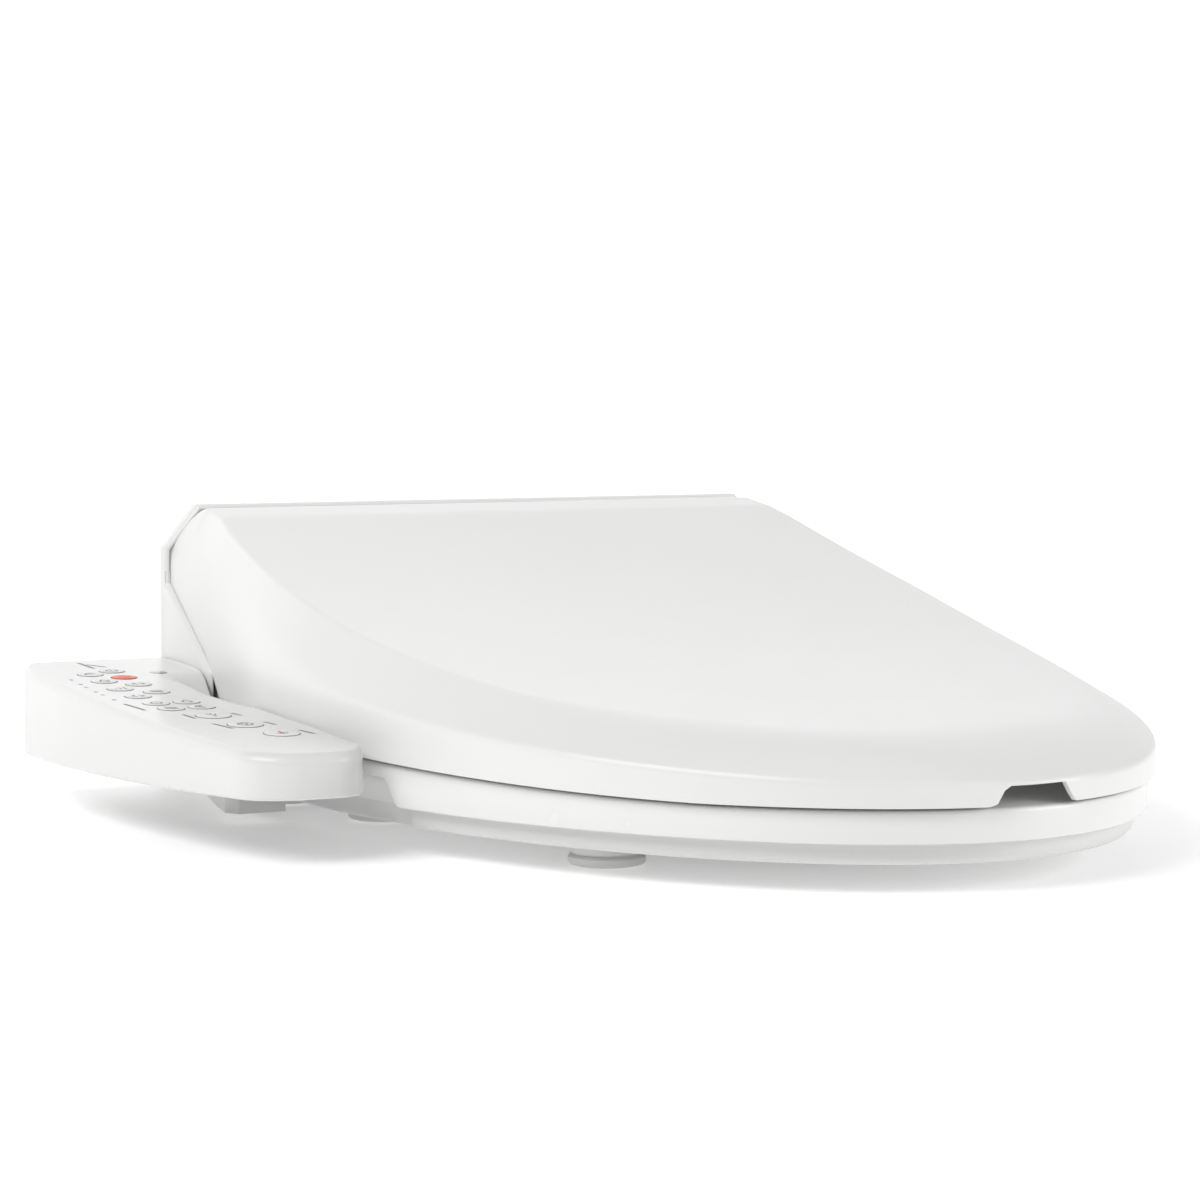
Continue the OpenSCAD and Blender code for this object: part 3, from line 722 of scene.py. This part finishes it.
def arm_outline(d):
    """The arm's plan outline drawn in by d, always with the same number of points.

    The inner side, beside the lid, is drawn in less, so its top edge is crisper.
    """
    corner, slim = 9, 0.3
    cx = arm_outer_x(ARM_REAR) + corner
    points = arc(cx, ARM_REAR - corner, corner - d, 90, 180, 7)
    steps = 40
    for i in range(1, steps + 1):
        y = mix(ARM_REAR - corner, NOSE_START_Y, i / steps)
        points.append((arm_outer_x(y) + d, y))
    points += arc(NOSE_OUT_X, ARM_TIP + NOSE_OUT_R, NOSE_OUT_R - d, 184, 270, 18)
    steps = 18
    for i in range(steps + 1):
        a = math.radians(mix(272, 360, i / steps))
        r = NOSE_IN_R - d * mix(1, slim, smooth(i / steps))
        points.append((NOSE_IN_X + r * math.cos(a), ARM_TIP + NOSE_IN_R + r * math.sin(a)))
    points += [(arm_inner_x(y) - d * slim, y) for y in range(-222, -14, 6)]
    points.append((-HALF_W - d * slim, -12))
    points.append((-HALF_W - d * slim, ARM_REAR - d))
    return points


def valley(x, y):
    """How much the arm's top falls away beside the lid's rear corner."""
    depth = VALLEY_DEPTH * smooth((y + 165) / 120) * smooth((-6 - y) / 20)
    edge = -209.5 - 3.5 * smooth((-30 - y) / 50) + 11 * smooth((-100 - y) / 60)
    reach = -HALF_W - edge
    return depth * smooth((x - edge) / reach) if x > edge else 0.0


def sweep_up(x, y):
    """Fillet of the arm's top up into the housing's side."""
    u = max(0.0, SWEEP_R + HALF_W + x)
    rise = SWEEP_R - math.sqrt(max(0.0, SWEEP_R ** 2 - u ** 2))
    return rise * smooth((y + 14) / 20) * smooth((ARM_REAR + 2 - y) / 30)


def on_arm(x, y, lift=0.0):
    """Matrix of a frame on the arm's sloping top, its z out of the surface."""
    base = Matrix.Translation(Vector((x, y, arm_top_z(y))) * MM)
    return base @ Matrix.Rotation(ARM_TILT, 4, "X") @ Matrix.Translation((0, 0, lift * MM))


def disc_mesh(name, r, z0, z1, segments=48, edge=0.0):
    """A closed disc about the local z axis with a rounded upper edge, sizes in millimetres."""
    profile = [(0.0001, z0), (r, z0)]
    for k in range(5):
        a = k / 4 * math.pi / 2
        profile.append((r - edge * (1 - math.cos(a)), z1 - edge * (1 - math.sin(a))))
    profile.append((0.0001, z1))
    rings = []
    for k in range(segments + 1):
        a = 2 * math.pi * k / segments
        rings.append([(p[0] * math.cos(a), p[0] * math.sin(a), p[1]) for p in profile])
    verts, faces = loft(rings, close_ring=False, cap=False)
    mesh = bpy.data.meshes.new(name)
    mesh.from_pydata([Vector(v) * MM for v in verts], [], faces)
    item = bpy.data.objects.new(name, mesh)
    scene.collection.objects.link(item)
    clean(item, 0.002)
    return item


def place_mesh(item, matrix):
    item.data.transform(matrix)
    item.data.update()


def key_places():
    """Name, place and radius of every key."""
    rows = ((OUTER_KEYS, OUTER_Y, OUTER_OFF, SMALL_R), (INNER_KEYS, INNER_Y, INNER_OFF, SMALL_R),
            (BIG_KEYS, BIG_Y, BIG_OFF, BIG_R))
    return [(name, arm_outer_x(y) + off, y, r)
            for names, ys, offs, r in rows for name, y, off in zip(names, ys, offs)]


def light_places():
    """The row of level lamps, then the green status lamp."""
    return [(arm_outer_x(y) + LIGHT_OFF, y) for y in LIGHT_Y] + [STATUS_LIGHT]


def slice_top(item, x0, x1, y0, y1, step):
    """Cuts an even grid into the mesh, so that its top can be shaped."""
    bm = bmesh.new()
    bm.from_mesh(item.data)

    def bisect(point, normal):
        bmesh.ops.bisect_plane(bm, geom=bm.verts[:] + bm.edges[:] + bm.faces[:],
                               plane_co=Vector(point) * MM, plane_no=normal, dist=1e-7)

    x = x0
    while x < x1:
        bisect((x, 0, 0), (1, 0, 0))
        x += step
    y = y0
    while y < y1:
        bisect((0, y, 0), (0, 1, 0))
        y += step * 1.6
    bm.to_mesh(item.data)
    bm.free()


def build_arm():
    """The arm as one closed body, with pockets for its keys and lamps."""
    shaped_from = 30
    rings = []
    for angle in (0, 30, 60, 90):
        a = math.radians(angle)
        drawn_in, rise = ARM_LOW_EDGE * (1 - math.sin(a)), ARM_LOW_EDGE * (1 - math.cos(a))
        rings.append([(x, y, arm_under_z(y) + rise) for x, y in arm_outline(drawn_in)])
    for angle in range(0, 91, 9):
        a = math.radians(angle)
        drawn_in, fall = ARM_EDGE * (1 - math.cos(a)), ARM_EDGE * (1 - math.sin(a))
        rings.append([(x, y, arm_top_z(y) - fall) for x, y in arm_outline(drawn_in)])
    verts, faces = loft(rings)
    arm = make_object("control_arm", verts, faces, M["arm"], "base")
    clean(arm)
    slice_top(arm, x0=-216.15, x1=-182.2, y0=-170.3, y1=50, step=2.1)
    for vertex in arm.data.vertices:
        x, y, z = vertex.co / MM
        share = smooth((z - shaped_from) / (arm_top_z(y) - 6 - shaped_from))
        vertex.co.z += (sweep_up(x, y) - valley(x, y)) * share * MM
    pockets = [(x, y, r + KEY_GAP, POCKET_DEPTH, 48) for _, x, y, r in key_places()]
    pockets += [(x, y, LIGHT_POCKET_R, 1.0, 24) for x, y in light_places()]
    cutters = bmesh.new()
    for x, y, r, depth, segments in pockets:
        disc = disc_mesh("cutter", r, -depth, 3.0, segments)
        place_mesh(disc, on_arm(x, y))
        cutters.from_mesh(disc.data)
        bpy.data.objects.remove(disc)
    mesh = bpy.data.meshes.new("cutters")
    cutters.to_mesh(mesh)
    cutters.free()
    cutter = bpy.data.objects.new("cutters", mesh)
    scene.collection.objects.link(cutter)
    cut(arm, cutter)
    shade(arm, 38)
    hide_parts("arm_cover")


build_arm()


def ribbon_mesh(name, strokes, width, z0, z1):
    """Thin flat strokes of even width, each one a line of points in millimetres."""
    bm = bmesh.new()
    for line in strokes:
        for (x0, y0), (x1, y1) in zip(line, line[1:]):
            length = math.dist((x0, y0), (x1, y1))
            across = ((y0 - y1) / length * width / 2, (x1 - x0) / length * width / 2)
            corners = [(x0 + across[0], y0 + across[1]), (x0 - across[0], y0 - across[1]),
                       (x1 - across[0], y1 - across[1]), (x1 + across[0], y1 + across[1])]
            low = [bm.verts.new(Vector((x, y, z0)) * MM) for x, y in corners]
            top = [bm.verts.new(Vector((x, y, z1)) * MM) for x, y in corners]
            bm.faces.new(low)
            bm.faces.new(reversed(top))
            for i in range(4):
                k = (i + 1) % 4
                bm.faces.new((low[i], top[i], top[k], low[k]))
    bmesh.ops.recalc_face_normals(bm, faces=bm.faces)
    mesh = bpy.data.meshes.new(name)
    bm.to_mesh(mesh)
    bm.free()
    item = bpy.data.objects.new(name, mesh)
    scene.collection.objects.link(item)
    return item


def wave(x0, x1, y, swing):
    """One full wave between x0 and x1 about the height y."""
    return [(mix(x0, x1, i / 8), y + swing * math.sin(i / 8 * 2 * math.pi)) for i in range(9)]


def key_icons():
    """Generic signs for the keys, in shares of a key's radius."""
    fan = [arc(0, 0.1, 0.34, 200, 340, 8), [(0, 0.1), (0, 0.55)]]
    drop = [[(0, 0.6)] + arc(0, -0.12, 0.36, 40, -220, 12) + [(0, 0.6)]]
    waves = [wave(-0.45, 0.45, y, 0.1) for y in (-0.3, 0.0, 0.3)]
    sides = [[(-0.15, 0.35), (-0.5, 0), (-0.15, -0.35)], [(0.15, 0.35), (0.5, 0), (0.15, -0.35)]]
    moon = [arc(0, 0, 0.45, 60, 300, 12), arc(0.2, 0, 0.38, 90, 270, 10)]
    bars = [[(-0.4, -0.4), (-0.4, -0.1)], [(0, -0.4), (0, 0.15)], [(0.4, -0.4), (0.4, 0.45)]]
    ring = [arc(0, 0, 0.42, 0, 360, 16)]
    switch = [arc(0, 0, 0.45, 120, 420, 14), [(0, 0.1), (0, 0.6)]]
    seat = [[(-0.45, -0.35), (-0.45, 0.1), (0.4, 0.1)], [(-0.3, 0.4), (0.3, 0.4)]]
    spray = [[(0, -0.5), (0, 0)], [(-0.3, 0.4), (-0.12, 0.1)], [(0.3, 0.4), (0.12, 0.1)],
             [(0, 0.2), (0, 0.55)]]
    return (seat, drop, bars, sides, ring, waves, switch, ring, sides, waves, drop, moon,
            spray, spray + ring, fan)


def build_keys():
    """Each key: a dark collar, painted shade that stands for the shadowed gap round it, a cap and
    a printed sign.
    """
    for (name, x, y, r), icon in zip(key_places(), key_icons()):
        stop = name == "stop_button"
        finish, slot = ("stop", "stop_red") if stop else ("key", "key_white")
        # The collar's near-black plastic is painted shade in the gap round the cap.
        collar = disc_mesh(name + "_collar", r + 0.2, -2.6, 0.1, 64, 0.1)
        cap = disc_mesh(name + "_cap", r - 0.1, -0.1, 0.34, 64, 0.24)
        strokes = [[(px * r, py * r) for px, py in line] for line in icon]
        sign = ribbon_mesh(name + "_sign", strokes, 0.9, 0.3, 0.38)
        for item, material, item_slot in ((collar, M["gap"], "dark_plastic"),
                                          (cap, M[finish], slot),
                                          (sign, M["ink_red" if stop else "ink"], "dark_plastic")):
            place_mesh(item, on_arm(x, y))
            shade(item, 50)
            finish_piece(item, material, name)
        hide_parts(name)
        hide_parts(name)


build_keys()


def build_panel_marks():
    """Lamps, plain marks that stand for labels, the sensor's lens and the dryer key's dot."""
    for number, (x, y) in enumerate(light_places(), 1):
        lamp = disc_mesh(f"panel_light_{number}", LIGHT_R, -0.9, 0.05, 24, 0.1)
        place_mesh(lamp, on_arm(x, y))
        shade(lamp, 50)
        green = number > len(LIGHT_Y)
        finish_piece(lamp, M["light" if green else "ink"], "base")
        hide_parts("panel_lights")
    marks = (((-220.6, -138), (-218.6, -146)), ((-216, -167), (-214, -176)),
             ((-210.3, -193.5), (-207.6, -205.4)), ((-243.6, -135), (-242.3, -148)),
             ((-240.5, -164), (-237.1, -180)), ((-258, -97), (-255.5, -118)),
             ((-232, 39), (-231, 18)), ((-230, 32), (-223.5, 21)))
    for number, (start, end) in enumerate(marks, 1):
        x, y = start
        line = [(0, 0), (end[0] - x, (end[1] - y) / math.cos(ARM_TILT))]
        mark = ribbon_mesh(f"panel_mark_{number}", [line], 1.7, -0.1, 0.03)
        place_mesh(mark, on_arm(x, y))
        finish_piece(mark, M["ink"], "base")
    lens = disc_mesh("sensor_lens", 4.6, -1.5, 0.06, 48, 0.1)
    place_mesh(lens, on_arm(*SENSOR))
    shade(lens, 50)
    finish_piece(lens, M["lens"], "base")
    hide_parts("sensor_window")
    dryer_x, dryer_y = key_places()[-1][1:3]
    dot = disc_mesh("dryer_button_dot", 1.2, 0.3, 0.42, 24, 0.05)
    place_mesh(dot, on_arm(dryer_x, dryer_y, 0.02))
    finish_piece(dot, M["ink_red"], "dryer_button")


build_panel_marks()

# ---- Rear housing ---------------------------------------------------------------

CORNER_W, CORNER_H = 18.5, 22.4      # cut corners of the rear plate
CHEEK_LOW_Z, CHEEK_TOP_Z, CHEEK_STEP = 65.5, 106.5, 1.5
CHEEK_FRONT_Y, CHEEK_FOOT_Y = -12.7, -14
CHEEK_WALL, CHEEK_ROUND = 2.8, 2.7
ROOF_IN_X, ROOF_FRONT_Y, ROOF_T = 141.5, -58, 2.5
SHOULDER_IN_X, SHOULDER_OUT_X = 174.4, 175.8


def housing_outline(d):
    """Front view of the rear plate, drawn in by d."""
    x_side, z_side = HALF_W - d, HOUSING_H - CORNER_H - d * 0.4
    x_top, z_top = HALF_W - CORNER_W - d * 0.6, HOUSING_H - d
    return [(-x_side, COVER_Z0), (-x_side, z_side), (-x_top, z_top), (x_top, z_top),
            (x_side, z_side), (x_side, COVER_Z0)]


def build_rear_plate():
    """The plate behind the lid, with a bevelled lip all round its front."""
    rings = []
    for y, d in ((REAR_Y, 0.8), (REAR_Y - 0.8, 0), (BAND_Y + 2.6, 0), (BAND_Y + 0.6, 0.9),
                 (BAND_Y + 0.1, 1.5), (BAND_Y, 2.1), (BAND_Y + 0.3, LIP),
                 (BAND_Y + LIP_DEPTH, LIP)):
        rings.append([(x, y, z) for x, z in housing_outline(d)])
    verts, faces = loft(rings)
    plate = make_object("rear_plate", verts, faces, M["shell"], "base")
    clean(plate)
    shade(plate, 30)
    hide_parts("rear_cover")


def cheek_edge_y(z):
    """Front edge of the cheek at z: a slant, then upright behind the lid's corner."""
    if z > CHEEK_TOP_Z:
        return BAND_Y
    if z > CHEEK_LOW_Z:
        return mix(CHEEK_FRONT_Y, BAND_Y, (z - CHEEK_LOW_Z) / (CHEEK_TOP_Z - CHEEK_LOW_Z))
    return mix(CHEEK_FOOT_Y, CHEEK_FRONT_Y, max(0.0, 1 - (CHEEK_LOW_Z - z) / CHEEK_STEP))


def build_cheek(side):
    """Side wall of the housing, with a rolled lip down its slanted front edge."""
    rings = []
    x_out, x_in = HALF_W - 0.02, HALF_W - CHEEK_WALL
    levels = [COVER_Z0 + i * 2.5 for i in range(17)]
    levels += [CHEEK_LOW_Z + i * 2.05 for i in range(24)]
    for z in levels:
        edge = cheek_edge_y(z)
        lip = mix(8.5, 3.6, smooth((z - 52) / 60))
        ring = [(x_in, BAND_Y + 2, z), (x_out, BAND_Y + 2, z), (x_out, BAND_Y + 1, z)]
        for k in range(7):
            a = k / 6 * math.pi / 2
            y = min(edge + lip * (1 - math.sin(a)), BAND_Y + 0.9)
            ring.append((x_out - CHEEK_ROUND * (1 - math.cos(a)), y, z))
        ring.append((x_in, edge, z))
        rings.append([(side * x, y, z) for x, y, z in ring])
    verts, faces = loft(rings)
    name = "left_cheek" if side < 0 else "right_cheek"
    item = make_object(name, verts, faces, M["shell"], "base")
    clean(item)
    shade(item, 50)
    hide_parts("rear_cover")


def build_wall(name, side, x_in, x_out, outline, rounding):
    """A flat wall of the housing between two x, from its outline in y and z."""
    x0, x1 = sorted((side * x_in, side * x_out))
    verts, faces = loft([[(x0, y, z) for y, z in outline], [(x1, y, z) for y, z in outline]])
    item = make_object(("left_" if side < 0 else "right_") + name, verts, faces,
                       M["shell"], "base")
    clean(item)
    round_edges(item, rounding)
    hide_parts("rear_cover")


def build_side_roofs():
    """Flat roofs beside the hood, under the seat's brackets."""
    low, top = COVER_Z0 + 0.1, COVER_Z0 + ROOF_T
    outline = [(ROOF_FRONT_Y, low), (ROOF_FRONT_Y, top), (BAND_Y, top), (BAND_Y, low)]
    for side in (-1, 1):
        build_wall("roof", side, ROOF_IN_X, HALF_W - 2.5, outline, 0.4)


def build_shoulders():
    """Inner walls behind the gaps between the lid's rear corners and the cheeks."""
    low = COVER_Z0 + 2
    outline = [(-40, low), (-40, 52), (-16, 66), (4, 66), (4, low)]
    for side in (-1, 1):
        build_wall("shoulder", side, SHOULDER_IN_X, SHOULDER_OUT_X, outline, 0.3)


build_rear_plate()
build_cheek(-1)
build_cheek(1)
build_side_roofs()
build_shoulders()

# ---- CAD nodes: four with rounded edges, and the finish of each one ----------------

ROUNDED = {"hood": 0.8, "base_tray": 1.2, "seat_brackets": 0.8, "mounting_plate": 0.5}
FINISH = {
    "white_shell": "shell", "lid_white": "lid", "seat_white": "seat", "key_white": "key",
    "stop_red": "stop", "light_lens": "light", "dark_lens": "lens", "inner_plastic": "inner",
    "dark_plastic": "dark", "grey_plastic": "grey", "board_green": "board", "steel": "steel",
    "brass_fitting": "brass", "rubber_white": "rubber", "heater_foil": "foil",
}
slots = {p["node"]: p["material_slot"] for p in frame["record"]["subparts"]}
owner = {n: b for b, names in frame["record"]["behaviour"]["bodies"].items() for n in names}

for node, width in ROUNDED.items():
    soften(node, width, M[FINISH[slots[node]]], owner[node])
for node, item in frame["nodes"].items():
    item.data.materials.clear()
    item.data.materials.append(M[FINISH[slots[node]]])

# ---- Floor and light ------------------------------------------------------------


def add_stage():
    """A pale floor that curves up into a backdrop and glows faintly, so shadows stay light."""
    mesh = bpy.data.meshes.new("floor")
    rings = []
    back, radius, size, height, sunk = 2.2, 0.8, 6.0, 4.0, 0.0005
    profile = [(-size, 0.0), (back - radius, 0.0)]
    profile += [(back - radius + radius * math.sin(math.radians(a)),
                 radius - radius * math.cos(math.radians(a))) for a in range(10, 91, 10)]
    profile.append((back, height))
    for x in (-size, size):
        rings.append([(x, y, z - sunk) for y, z in profile])
    verts, faces = loft(rings, close_ring=False, cap=False)
    mesh.from_pydata(verts, [], faces)
    floor = bpy.data.objects.new("floor", mesh)
    scene.collection.objects.link(floor)
    material, nodes, links, node = shader("pale_floor", (0.93, 0.93, 0.93), 0.6)
    vary_roughness(nodes, links, node, 0.55, 0.65, 3)
    node.inputs["Emission Color"].default_value = (1, 1, 1, 1)
    node.inputs["Emission Strength"].default_value = 0.28
    mesh.materials.append(material)
    shade(floor, 60)


def add_light(name, location, target, size, power):
    light = bpy.data.lights.new(name, "AREA")
    light.shape = "RECTANGLE"
    light.size, light.size_y = size
    light.energy = power
    item = bpy.data.objects.new(name, light)
    item.location = location
    direction = Vector(target) - Vector(location)
    item.rotation_euler = direction.to_track_quat("-Z", "Y").to_euler()
    scene.collection.objects.link(item)


def add_world():
    world = bpy.data.worlds.new("studio")
    world.use_nodes = True
    back = world.node_tree.nodes["Background"]
    back.inputs["Color"].default_value = (1, 1, 1, 1)
    back.inputs["Strength"].default_value = 0.24
    scene.world = world


add_stage()
add_world()
SEAT_MIDDLE = (0, -0.2, 0.05)
add_light("key_light", (-2.1, -0.75, 2.0), SEAT_MIDDLE, (2.0, 1.4), 52)
add_light("right_light", (2.1, -2.0, 0.9), SEAT_MIDDLE, (1.4, 1.4), 40)
add_light("top_light", (0.0, -0.3, 2.8), SEAT_MIDDLE, (2.4, 2.4), 5)
add_light("backdrop_light", (0.6, 0.9, 1.6), (0.9, 2.2, 0.7), (2.4, 1.2), 8)
scene.view_settings.view_transform = "Standard"
